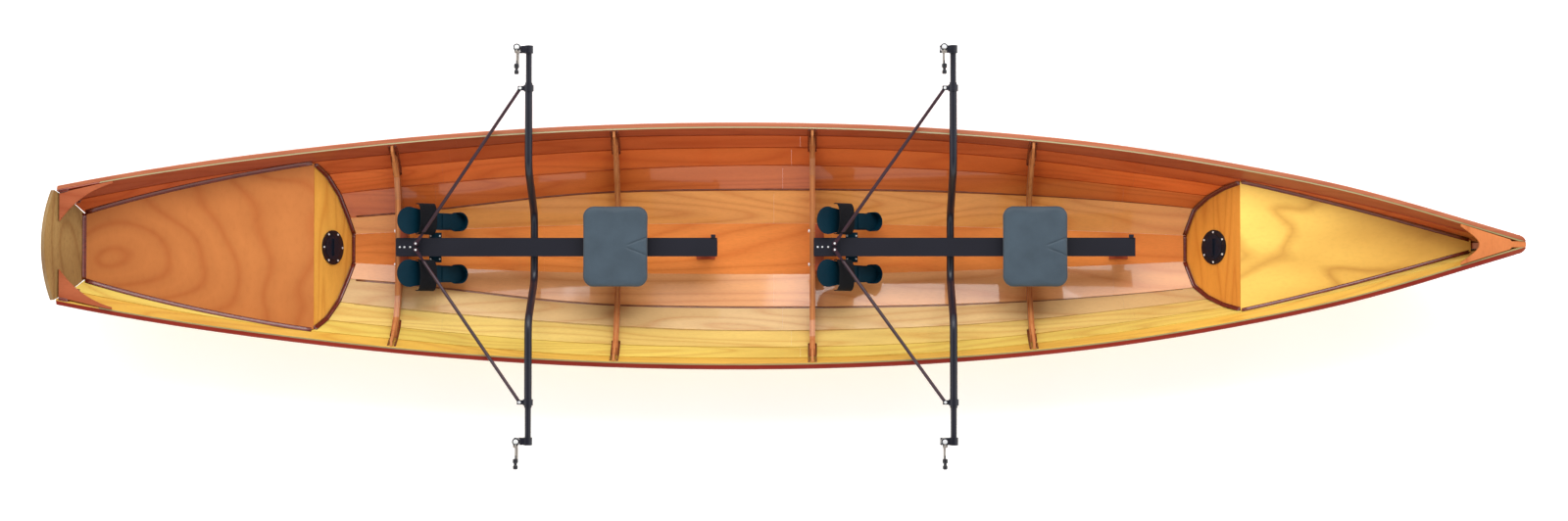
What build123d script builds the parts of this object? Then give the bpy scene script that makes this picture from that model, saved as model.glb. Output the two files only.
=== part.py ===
"""Tandem lapstrake rowing wherry with two drop-in sliding-seat rigs.

Row frame: +X to the bow, +Y to port, +Z up, millimetres. The origin is on the
underside of the flat middle of the bottom plank, halfway along the boat.
"""
import math
import os

from build123d import *

# ---- hull lines: each seam runs from the transom to the stem ----
STATIONS = [-2500, -2000, -1500, -900, -300, 300, 900, 1400, 1900, 2330]
# seam: (transom half-breadth, half-breadths at the stations)
BREADTHS = [
    (14, [26, 50, 76, 99, 106, 104, 87, 68, 44, 23]),
    (42, [70, 112, 153, 220, 241, 241, 225, 194, 143, 80]),
    (88, [138, 206, 261, 311, 341, 338, 309, 258, 193, 116]),
    (136, [208, 286, 340, 391, 411, 407, 372, 312, 234, 148]),
    (182, [262, 338, 389, 441, 457, 451, 412, 350, 267, 174]),
    (221, [302, 371, 425, 466, 483, 475, 439, 384, 300, 206]),
]
# seam: (transom height, heights at the stations)
HEIGHTS = [
    (129, [89, 51, 23, 9, 9, 9, 9, 17, 41, 71]),
    (158, [114, 82, 58, 46, 45, 45, 48, 62, 90, 124]),
    (212, [170, 138, 116, 105, 103, 104, 109, 125, 154, 190]),
    (276, [238, 208, 189, 179, 177, 179, 186, 202, 231, 268]),
    (346, [312, 284, 267, 258, 256, 259, 268, 285, 314, 350]),
    (430, [397, 372, 353, 342, 338, 342, 351, 368, 395, 431]),
]
STEM_LANDING = [(2530, 92), (2680, 160), (2785, 228), (2868, 303), (2933, 386), (2985, 468)]
STEM_HALF = 12.0            # half the stem's thickness
PLY = 6.0                   # strakes, decks and bulkheads
BOTTOM_PLY = 9.0
LAP = 15.0                  # how far each strake reaches down over its neighbour
GLUE = 0.35                 # glue line between neighbouring pieces
SECTIONS = 30
JOINTS, JOINT_STEP = (-1450.0, 0.0, 1420.0), 37.0   # end joints in each strake, and their stagger
FLAT_AFT, FLAT_FORE = -1000.0, 1000.0
RAIL_THICK, RAIL_DEEP, NOSE_R, NOSE_X = 19.0, 30.0, 40.0, 2970.0

# ---- transom, knees, breasthook, tanks ----
TRANSOM_THICK, TRANSOM_RAKE = 18.0, 0.525      # rake: aft per unit of height
TRANSOM_X, TRANSOM_Z = -2891.0, 270.0          # a point on the outer face
CROWN_Z = 484.0
KNEE_X, KNEE_Y, KNEE_THICK = 215.0, 115.0, 16.0
HOOK_TIP, HOOK_APEX, HOOK_THICK = 2748.0, 2822.0, 16.0
AFT_TANK = dict(top=-1928.0, foot=-1804.0, deck=281.0)
FORE_TANK = dict(top=1878.0, foot=1689.0, deck=303.0)
PORT_BORE, PORT_RING, PORT_LIP = 51.0, 71.5, 5.0
PORT_SCREWS, PORT_SCREW_R = 6, 62.0

# ---- frames ----
FRAMES = dict(frame_one=(-1599.0, True), frame_two=(-690.0, False),
              frame_three=(124.0, True), frame_four=(1030.0, False))
FRAME_THICK, CHEEK_THICK, FRAME_DEEP, FLOOR_TOP = 10.0, 6.0, 42.0, 150.0

# ---- rowing rigs, placed by the stern end of each track ----
RIGS = dict(aft=(-1595.0, "frame_one"), forward=(134.0, "frame_three"))
TRACK_LONG, TRACK_WIDE, TRACK_TOP, TRACK_DEEP = 1325.0, 77.0, 200.0, 42.0
WING_S, WING_R, WING_Z, WING_LOW = 563.0, 15.5, 418.0, 139.0
WING_FLAT, WING_KNEE, WING_END = 135.0, 310.0, 662.0
EXT_R, EXT_IN, EXT_END = 12.5, 560.0, 815.0
STAY_R, STAY_Y, STAY_LUG, STAY_RISE = 7.0, 640.0, 34.0, 40.0
PIN_Y, PIN_BACK, PIN_R = 798.0, 40.0, 6.5
LOCK_Z, LOCK_SILL, LOCK_GATE, LOCK_REACH = 450.0, 464.0, 525.0, 78.0
SEAT_S, SEAT_LONG, SEAT_WIDE, SEAT_TOP = 907.0, 266.0, 334.0, 270.0
SEAT_BACK, SEAT_FORE, HOOK_HALF = -450.0, 280.0, 104.0
WHEEL_R, WHEEL_BASE, WHEEL_Y = 13.0, 78.0, 26.0
FOOT_Y, FOOT_SLOPE, TOE_S, HEEL_S = 109.0, 40.0, 52.0, 226.0
TOE_R, HEEL_R, HEEL_Z, FOOT_THICK = 57.0, 40.0, 88.0, 6.0

os.makedirs("parts", exist_ok=True)


def save(name, *solids):
    flat = []
    for item in solids:
        flat += item.solids()
    shape = flat[0] if len(flat) == 1 else Compound(children=flat)
    export_step(shape, f"parts/{name}.step")


def block(x, y, z, edge=0.0):
    """Box between the two limits on each axis, edges rounded if asked."""
    lo, hi = zip(x, y, z)
    size = [h - l for l, h in zip(lo, hi)]
    solid = Box(*size)
    if edge:
        solid = fillet(solid.edges(), edge)
    return Pos(*[(l + h) / 2 for l, h in zip(lo, hi)]) * solid


def rod(a, b, radius, bore=0.0):
    """Round bar or tube from a to b."""
    a, b = Vector(*a), Vector(*b)
    plane = Plane(origin=a, z_dir=b - a)
    ring = Circle(radius) - Circle(bore) if bore else Circle(radius)
    return extrude(plane * ring, (b - a).length)


def in_lengths(solid, index):
    """A strake's lengths of plywood, glued end to end."""
    ends = [-3300, *[x + (index - 2) * JOINT_STEP for x in JOINTS], 3300]
    return [(solid & block((a + GLUE / 2, b - GLUE / 2), (-900, 900), (-10, 900))).solids()[0]
            for a, b in zip(ends, ends[1:])]


def mirrored(solid):
    return mirror(solid, about=Plane.XZ)


def both(solid):
    return [solid, mirrored(solid)]


# ------------------------------------------------------------ hull surface
def transom_x(z, inside=0.0):
    """X of the transom plane at a height, moved inboard by a thickness."""
    shift = inside * math.hypot(1, TRANSOM_RAKE)
    return TRANSOM_X + shift - TRANSOM_RAKE * (z - TRANSOM_Z)


def plank_end(z):
    """X of the plane on the transom's inner face where the planking stops."""
    return transom_x(z, TRANSOM_THICK) + GLUE


def seam_points(k):
    breadth_t, breadths = BREADTHS[k]
    height_t, heights = HEIGHTS[k]
    stem_x, stem_z = STEM_LANDING[k]
    pts = [(plank_end(height_t), breadth_t, height_t)]
    pts += list(zip(STATIONS, breadths, heights))
    pts.append((stem_x, STEM_HALF, stem_z))
    slope = (breadths[-1] - STEM_HALF) / (stem_x - STATIONS[-1])
    rise = (stem_z - heights[-1]) / (stem_x - STATIONS[-1])
    pts.append((stem_x + 60, STEM_HALF - 60 * slope, stem_z + 60 * rise * 1.15))
    return pts


SEAMS = [Edge.make_spline([Vector(*p) for p in seam_points(k)]) for k in range(6)]
DENSE = [[seam @ (i / 300) for i in range(301)] for seam in SEAMS]


def seam_at(k, x):
    """Half-breadth and height of a seam at a position along the boat."""
    pts = DENSE[k]
    for a, b in zip(pts, pts[1:]):
        if a.X <= x <= b.X:
            t = (x - a.X) / (b.X - a.X)
            return a.Y + t * (b.Y - a.Y), a.Z + t * (b.Z - a.Z)
    last = pts[0] if x < pts[0].X else pts[-1]
    return last.Y, last.Z


def half_breadth(x, z):
    """Half-breadth inside the planking at a position and height."""
    ring = [seam_at(k, x) for k in range(6)]
    for (y0, z0), (y1, z1) in zip(ring, ring[1:]):
        if z0 <= z <= z1:
            return y0 + (y1 - y0) * (z - z0) / (z1 - z0)
    return ring[0][0] if z < ring[0][1] else ring[-1][0]


def unit(v):
    size = math.hypot(*v)
    return v[0] / size, v[1] / size


def strake_frame(k, t):
    """Inner lower corner, direction up the strake and outward normal."""
    low, top = SEAMS[k - 1] @ t, SEAMS[k] @ t
    start = (low.Y + GLUE, low.Z)
    if k > 1:
        _, e, m = strake_frame(k - 1, t)
        start = (low.Y + 0.55 * PLY * m[0] + GLUE * e[0], low.Z + 0.55 * PLY * m[1] + GLUE * e[1])
    d = unit((top.Y - start[0], top.Z - start[1]))
    return start, d, (d[1], -d[0])


def strake_section(k, t):
    """Corners of strake k, between seams k-1 and k, at a fraction of its length."""
    low, top = SEAMS[k - 1] @ t, SEAMS[k] @ t
    a, b = (low.Y, low.Z), (top.Y, top.Z)
    lean = (top.X - low.X) / (top.Z - low.Z)
    start, d, n = strake_frame(k, t)

    def at(p, tilt=lean):
        return Vector(low.X + (p[1] - low.Z) * tilt, p[0], p[1])

    if k == 1:
        outer = [(b[0] + PLY * n[0], b[1] + PLY * n[1]),
                 (start[0] + PLY * n[0], start[1] + PLY * n[1])]
        return [at(p) for p in [start, b] + outer]
    _, e, m = strake_frame(k - 1, t)
    foot = SEAMS[k - 2] @ t
    lap_lean = (low.X - foot.X) / (low.Z - foot.Z) if t < 1 else lean

    def on_lower(out, up):
        return a[0] + out * m[0] + up * e[0], a[1] + out * m[1] + up * e[1]

    top_out = (b[0] + PLY * n[0], b[1] + PLY * n[1])
    low_out = (start[0] + PLY * n[0] - LAP * d[0], start[1] + PLY * n[1] - LAP * d[1])
    ring = [at(start), at(b), at(top_out)]
    lap = [low_out, on_lower(PLY + GLUE, -LAP), on_lower(PLY + GLUE, GLUE)]
    return ring + [at(p, lap_lean) for p in lap]


def ruled_bar(sections):
    """Solid whose corners run as smooth lines through matching section corners."""
    count = len(sections[0])
    lines = [Edge.make_spline([s[i] for s in sections]) for i in range(count)]
    faces = [Face.make_surface_from_curves(lines[i], lines[(i + 1) % count])
             for i in range(count)]
    for ring in (sections[0], sections[-1]):
        faces.append(Face(Wire.make_polygon(ring, close=True)))
    return Solid(Shell(faces))


def strake(k):
    steps = [i / SECTIONS for i in range(SECTIONS + 1)]
    bar = ruled_bar([strake_section(k, t) for t in steps])
    gap = STEM_HALF + GLUE
    return bar - block((2200, 3200), (-200, gap), (-200, 700))


for index, name in enumerate(["garboards", "second_strakes", "third_strakes",
                              "fourth_strakes", "sheer_strakes"], start=1):
    lengths = in_lengths(strake(index), index)
    save(name, *lengths, *[mirrored(part) for part in lengths])

# ------------------------------------------------------------ bottom plank
BOW_END = STEM_LANDING[0][0] - 70
line = [p for p in DENSE[0] if p.X < BOW_END]
side = [(p.X, p.Y) for p in line]
side.append((BOW_END, seam_at(0, BOW_END)[0]))
outline = Polyline(*[(x, y) for x, y in side], *[(x, -y) for x, y in reversed(side)], close=True)
plan = extrude(make_face(outline), 400)
aft = [(p.X, p.Z - BOTTOM_PLY) for p in line if p.X < FLAT_AFT]
fore = [(p.X, p.Z - BOTTOM_PLY) for p in line if p.X > FLAT_FORE]
fore.append((BOW_END, seam_at(0, BOW_END)[1] - BOTTOM_PLY))
under = [(x, max(z, 0.0)) for x, z in aft] + [(FLAT_AFT, 0.0), (FLAT_FORE, 0.0)]
under += [(x, max(z, 0.0)) for x, z in fore]
over = [(x, z + BOTTOM_PLY) for x, z in reversed(under)]
profile = make_face(Plane.XZ * Polyline(*under, *over, close=True))
bottom = extrude(profile, 200, both=True) & plan
save("bottom_plank", bottom)

# ------------------------------------------------------------ stem and skeg
outer = [(x + 25, z - 6) for x, z in STEM_LANDING]
inner = [(x - 32, z + 6) for x, z in STEM_LANDING]
heel_z = seam_at(0, BOW_END)[1] - BOTTOM_PLY
outer[0] = (outer[0][0] + 8, outer[0][1])
curve_out = Spline((BOW_END + 0.5, heel_z), *outer, (3009, 505))
curve_in = Spline((BOW_END + 0.5, heel_z + 24), *inner, (2958, 505))
stem_face = make_face(curve_out + curve_in + Line(curve_out @ 0, curve_in @ 0)
                      + Line(curve_out @ 1, curve_in @ 1))
HOOK_Z = 449.0
stem = extrude(Plane.XZ * stem_face, STEM_HALF, both=True)
stem -= block((2500, 3100), (-50, 50), (HOOK_Z - GLUE, 700))
save("stem", stem)

skeg_top = [(x, seam_at(0, x)[1] - BOTTOM_PLY - 0.6) for x in range(-2780, -1580, 60)]
skeg = make_face(Plane.XZ * Polyline((-2780, 7), *skeg_top, (-1560, 12), close=True))
save("skeg", extrude(skeg, 9, both=True))


# ------------------------------------------------------------ rub rails
def rail_section(t):
    top, low = SEAMS[5] @ t, SEAMS[4] @ t
    _, d, n = strake_frame(5, t)
    run = SEAMS[5] % t
    flat = unit((-run.Y, run.X))
    lean = (top.X - low.X) / (top.Z - low.Z)
    rim = (top.Y + (PLY + GLUE) * n[0], top.Z + (PLY + GLUE) * n[1])
    ring = []
    ease = 5.0
    corners = [(-1, 0), (RAIL_DEEP, 0), (RAIL_DEEP, RAIL_THICK - ease), (RAIL_DEEP - ease, RAIL_THICK),
               (ease + 1, RAIL_THICK), (1, RAIL_THICK - ease)]
    for down, out in corners:
        y, z = rim[0] - down * d[0], rim[1] - down * d[1]
        ring.append(Vector(top.X + (z - top.Z) * lean + out * flat[0], y + out * flat[1], z))
    return ring


def planar(ring):
    """Move the corners along X so that they lie in the transom plane."""
    return [Vector(plank_end(p.Z), p.Y, p.Z) for p in ring]


rail_rings = [rail_section(i / SECTIONS) for i in range(SECTIONS + 1)]
rail_rings[0] = planar(rail_rings[0])
last = rail_rings[-1]
rail_rings[-1] = [Vector(last[0].X, p.Y, p.Z) for p in last]
rail = ruled_bar(rail_rings)
keep = block((-3200, NOSE_X), (STEM_HALF + GLUE, 700), (0, 700))
nose = rod((NOSE_X, 0, 0), (NOSE_X, 0, 700), NOSE_R)
keep += nose & block((NOSE_X - 1, 3100), (STEM_HALF + GLUE, 100), (0, 700))
save("rub_rails", *both(rail & keep))

# ------------------------------------------------------------ transom
plane_t = Plane(origin=(TRANSOM_X, 0, TRANSOM_Z), x_dir=(0, 1, 0),
                z_dir=(1, 0, TRANSOM_RAKE))
slant = math.hypot(1, TRANSOM_RAKE)
ring = [(BREADTHS[k][0] + 3, HEIGHTS[k][0] - 3) for k in range(6)]
ring[0] = (ring[0][0], ring[0][1] - 5)
ring[5] = (ring[5][0], ring[5][1] + 6)
pts = [(y, (z - TRANSOM_Z) * slant) for y, z in ring]
crown = ThreePointArc(pts[-1], (0, (CROWN_Z - TRANSOM_Z) * slant), (-pts[-1][0], pts[-1][1]))
edge = Polyline(*[(-y, z) for y, z in reversed(pts)], *pts)
transom = extrude(plane_t * make_face(edge + crown), TRANSOM_THICK)
save("transom", transom)

# ------------------------------------------------------------ knees and breasthook
knee_z = HEIGHTS[5][0] - KNEE_THICK - 4
knee_x = transom_x(knee_z, TRANSOM_THICK) + GLUE
rim = [(x, half_breadth(x, knee_z) - 0.8) for x in (knee_x, knee_x + 90, knee_x + KNEE_X)]
tip, toe = (rim[-1][0], rim[-1][1] - 9), (knee_x, rim[0][1] - KNEE_Y)
hollow = Spline(tip, (knee_x + 95, rim[1][1] - 38), (knee_x + 32, rim[0][1] - 74), toe)
knee = make_face(Polyline(toe, *rim, tip) + hollow)
save("quarter_knees", *both(Pos(0, 0, knee_z) * extrude(knee, KNEE_THICK)))

hook_rim = [(x, half_breadth(x, HOOK_Z) - 0.8) for x in (HOOK_TIP, 2800, 2860, 2910, 2945)]
hook_tip = (HOOK_TIP, hook_rim[0][1] - 8)
nose = [(2952, STEM_HALF), (NOSE_X + NOSE_R - 4, STEM_HALF), (NOSE_X + NOSE_R - 1, 6)]
hook_edge = Spline(hook_tip, (HOOK_APEX - 14, 26), (HOOK_APEX, 0), (HOOK_APEX - 14, -26),
                   (hook_tip[0], -hook_tip[1]))
half = [hook_tip] + hook_rim + nose
loop = Polyline(*half, *[(x, -y) for x, y in reversed(half)])
save("breasthook", Pos(0, 0, HOOK_Z) * extrude(make_face(loop + hook_edge), HOOK_THICK))


# ------------------------------------------------------------ flotation tanks
def deck(x0, x1, top, steps=16):
    low = top - PLY
    xs = [x0 + (x1 - x0) * i / steps for i in range(steps + 1)]
    side = [(x, max(half_breadth(x, low) - 0.8, 3)) for x in xs]
    loop = Polyline(*side, *[(x, -y) for x, y in reversed(side)], close=True)
    return Pos(0, 0, low) * extrude(make_face(loop), PLY)


def tank(spec, sign):
    """Sloped bulkhead with its port; sign is +1 when the cockpit lies forward."""
    deck_z = spec["deck"] - PLY - GLUE
    floor_z = seam_at(0, spec["foot"])[1] + 0.7 * PLY + 1.5
    slope = (spec["foot"] - spec["top"]) / (deck_z - floor_z)

    def x_at(z):
        return spec["foot"] - (z - floor_z) * slope

    heights = [floor_z + (deck_z - floor_z) * i / 24 for i in range(25)]
    back = -sign * (PLY + 3)
    side = []
    for z in heights:
        rear = max(z - 0.75 * PLY, seam_at(0, x_at(z) + back)[1] + 0.1)
        y = half_breadth(x_at(z) + back, rear) - 1.2
        side.append((min(y, half_breadth(x_at(z), z) - 1.2), z))
    normal = Vector(sign, 0, sign * slope)
    if normal.Z < 0:
        normal = Vector(sign, 0, -sign * slope)
    corners = [Vector(x_at(z), y, z) for y, z in side]
    corners += [Vector(x_at(z), -y, z) for y, z in reversed(side)]
    plate = Face(Wire.make_polygon(corners, close=True))
    up = plate.normal_at()
    direction = -up if up.X * sign > 0 else up
    solid = extrude(plate, PLY, dir=direction)
    mid_z = (floor_z + deck_z) / 2 + 6
    return solid, Vector(x_at(mid_z), 0, mid_z), -direction


def port_parts(centre, out, phase):
    plane = Plane(origin=centre, x_dir=(0, 1, 0), z_dir=out)
    cut = plane * Cylinder(PORT_BORE + 3, 60)
    seat = Pos(0, 0, GLUE)
    ring = plane * (seat * extrude(Circle(PORT_RING) - Circle(PORT_BORE), PORT_LIP))
    ring += plane * extrude(Circle(PORT_BORE + 2.6) - Circle(PORT_BORE), -16 + GLUE)
    ring += plane * (Pos(0, 0, -1) * extrude(Circle(PORT_BORE + 2.6) - Circle(PORT_BORE), 3))
    disc = Pos(0, 0, PORT_LIP - 2) * extrude(Circle(PORT_BORE - 0.5), 4)
    disc += Pos(0, 0, -10) * extrude(Circle(PORT_BORE - 1) - Circle(PORT_BORE - 4), 14)
    grip = Pos(0, 0, PORT_LIP + 4) * Box(70, 9, 8)
    disc += grip
    screws = []
    for i in range(PORT_SCREWS):
        a = math.radians(360 * i / PORT_SCREWS + phase)
        spot = Pos(PORT_SCREW_R * math.cos(a), PORT_SCREW_R * math.sin(a), 0)
        ring -= plane * (spot * Cylinder(2.2, 60))
        cut += plane * (spot * Cylinder(2.2, 60))
        screw = spot * extrude(Circle(2), PORT_LIP + 1, both=False)
        screw += spot * (Pos(0, 0, -12) * extrude(Circle(2), 12))
        screw += spot * (Pos(0, 0, PORT_LIP + GLUE + 0.1) * extrude(Circle(4.2), 1.8))
        screws.append(plane * screw)
    return cut, ring, plane * disc, screws


rings, screws = [], []
for spec, sign, name, phase in ((AFT_TANK, 1, "aft", 30), (FORE_TANK, -1, "forward", 0)):
    plate, centre, out = tank(spec, sign)
    cut, ring, cover, fasteners = port_parts(centre, out, phase)
    save(f"{name}_bulkhead", plate - cut)
    save(f"{name}_hatch_cover", cover)
    rings.append(ring)
    screws += fasteners
    print(name, "port centre", centre, "axis", out)
save("hatch_rings", *rings)
save("hatch_screws", *screws)
low = AFT_TANK["deck"] - PLY
save("aft_deck", deck(transom_x(low, TRANSOM_THICK) + 0.5, AFT_TANK["top"], AFT_TANK["deck"]))
tip_x = STEM_LANDING[2][0] + (STEM_LANDING[3][0] - STEM_LANDING[2][0]) * 0.45
save("forward_deck", deck(FORE_TANK["top"], tip_x - 2, FORE_TANK["deck"]))


# ------------------------------------------------------------ frames
def ring_at(x):
    """Inside corners of the planking, the narrower of two nearby sections."""
    sides = []
    for k in range(6):
        a, b = seam_at(k, x - 12), seam_at(k, x + 12)
        sides.append((min(a[0], b[0]) - 1.0, max(a[1], b[1], BOTTOM_PLY) + 0.5))
    return sides


def frame_face(x, full, top_seam):
    ring = ring_at(x)
    y5, z5 = ring[5]
    tops = {5: [(y5 - 2, z5 - 9), (y5 - 27, z5 - 9)],
            4: [(ring[4][0] - 1, ring[4][1] - 4), (ring[4][0] - 33, ring[4][1] - 4)]}[top_seam]

    def wall(z):
        return half_breadth(x, z)

    inside = []
    if top_seam == 5:
        inside.append((wall(ring[4][1]) - 36, ring[4][1]))
    inside.append((wall(ring[3][1]) - FRAME_DEEP, ring[3][1] + 6))
    if full:
        inside += [(wall(FLOOR_TOP) - 84, FLOOR_TOP + 3), (130, FLOOR_TOP), (60, FLOOR_TOP)]
        inside.append((0, FLOOR_TOP))
    else:
        inside.append((ring[2][0] - 34, ring[2][1] + 30))
        inside.append((ring[1][0] - 20, ring[1][1] + 34))
        inside.append((0, BOTTOM_PLY + seam_at(0, x)[1] - BOTTOM_PLY + FRAME_DEEP))
    port = [(y, z) for y, z in ring[:top_seam]] + [tops[0]]
    hull = Polyline(*[(-y, z) for y, z in reversed(port)], *port)
    half = [tops[1]] + inside
    whole = half + [(-y, z) for y, z in reversed(half[:-1])]
    inner = Spline(*whole) if not full else Polyline(*whole)
    caps = Line(tops[0], tops[1]) + Line((-tops[0][0], tops[0][1]), (-tops[1][0], tops[1][1]))
    return make_face(hull + inner + caps)


def plate_x(face, x0, x1):
    plane = Plane(origin=(x0, 0, 0), x_dir=(0, 1, 0), z_dir=(1, 0, 0))
    return extrude(plane * face, x1 - x0)


cheeks = []
for name, (x, full) in FRAMES.items():
    h = FRAME_THICK / 2
    holes = [rod((x - 60, y, 128), (x + 60, y, 128), 4.2) for y in (-70, 70)] if full else []
    core = plate_x(frame_face(x, full, 5), x - h, x + h)
    pair = [plate_x(frame_face(x, full, 4), x + h + GLUE, x + h + CHEEK_THICK),
            plate_x(frame_face(x, full, 4), x - h - CHEEK_THICK, x - h - GLUE)]
    for hole in holes:
        core -= hole
        pair = [c - hole for c in pair]
    save(name, core)
    cheeks += pair
save("frame_cheeks", *cheeks)


# ------------------------------------------------------------ rowing rigs
def track(x0):
    half = TRACK_WIDE / 2
    low = TRACK_TOP - TRACK_DEEP
    walls = [(-half, TRACK_TOP), (half, TRACK_TOP), (half, TRACK_TOP - 7), (half - 9, TRACK_TOP - 7),
             (half - 9, low), (9 - half, low), (9 - half, TRACK_TOP - 7), (-half, TRACK_TOP - 7)]
    inside = [(half - 12, TRACK_TOP - 4), (half - 12, low + 3), (12 - half, low + 3),
              (12 - half, TRACK_TOP - 4)]
    face = make_face(Polyline(*walls, close=True)) - make_face(Polyline(*inside, close=True))
    return plate_x(face, x0 - 4, x0 + TRACK_LONG)


def wing(x0):
    x = x0 + WING_S
    path = [(x, -WING_END, WING_Z), (x, -WING_KNEE, WING_Z), (x, -WING_FLAT, WING_LOW),
            (x, WING_FLAT, WING_LOW), (x, WING_KNEE, WING_Z), (x, WING_END, WING_Z)]
    line = FilletPolyline(*path, radius=85)
    start = Plane(origin=line @ 0, z_dir=line % 0)
    outer = sweep(start * Circle(WING_R), path=line)
    return outer - sweep(start * Circle(EXT_R + 0.2), path=line)


def footplate(x0, side):
    """Sloping plate: round toe end, narrower heel end, in its own plane."""
    slope = math.radians(FOOT_SLOPE)
    plane = Plane(origin=(x0 + HEEL_S, side * FOOT_Y, HEEL_Z), x_dir=(-math.cos(slope), 0,
                  math.sin(slope)), z_dir=(math.sin(slope), 0, math.cos(slope)))
    length = (HEEL_S - TOE_S) / math.cos(slope)
    return plane, length


def foot_shape(length):
    toe = Pos(length, 0) * Circle(TOE_R)
    waist = make_face(Polyline((0, HEEL_R - 6), (length * 0.45, HEEL_R - 4), (length, TOE_R),
                               (length, -TOE_R), (length * 0.45, 4 - HEEL_R), (0, 6 - HEEL_R),
                               close=True))
    return toe + waist + Circle(HEEL_R - 6)


def oarlock(x, y):
    """Barrel on the pin with a bent bar: sill and horn; the mouth lies towards starboard."""
    barrel = rod((x, y, LOCK_Z), (x, y, LOCK_GATE - 9), 15)
    path = FilletPolyline((x, y - 8, LOCK_SILL - 4.5), (x, y - LOCK_REACH, LOCK_SILL - 4.5),
                          (x, y - LOCK_REACH, LOCK_GATE - 11.6), radius=9)
    bar = sweep(Plane(origin=path @ 0, z_dir=path % 0) * Circle(4.5), path=path)
    body = barrel + bar
    for dx in (-9, 4.2):
        body += block((x + dx, x + dx + 4.8), (y - 24, y - 10.6), (LOCK_GATE - 16, LOCK_GATE + 6))
    body -= rod((x - 4.2, y - 17, LOCK_GATE), (x + 4.2, y - 17, LOCK_GATE), 8.5)
    body -= rod((x - 30, y - 17, LOCK_GATE), (x + 30, y - 17, LOCK_GATE), 2.6)
    return body - rod((x, y, LOCK_Z - 5), (x, y, LOCK_GATE), PIN_R + 0.08)


def gate(x, y):
    """Rod hinged on the barrel, and the waisted nut that closes on the horn."""
    bar = rod((x - 3.8, y - 17, LOCK_GATE), (x + 3.8, y - 17, LOCK_GATE), 6)
    bar += rod((x - 10, y - 17, LOCK_GATE), (x + 10, y - 17, LOCK_GATE), 2.55)
    bar += rod((x, y - 19, LOCK_GATE), (x, y - LOCK_REACH - 30, LOCK_GATE), 2.8)
    ends = [(-10, 3.1), (-10, 8), (-7, 11), (5, 11), (10, 6.5), (15, 6.5), (20, 10), (29, 10),
            (33, 7), (33, 3.1)]
    side = make_face(Polyline(*[(r, t) for t, r in ends], close=True))
    nut = revolve(Plane(origin=(x, y - LOCK_REACH, LOCK_GATE), x_dir=(1, 0, 0), z_dir=(0, 0, 1))
                  * mirror(side, about=Plane.XZ), axis=Axis((x, y, LOCK_GATE), (0, 1, 0)))
    return bar, nut


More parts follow.
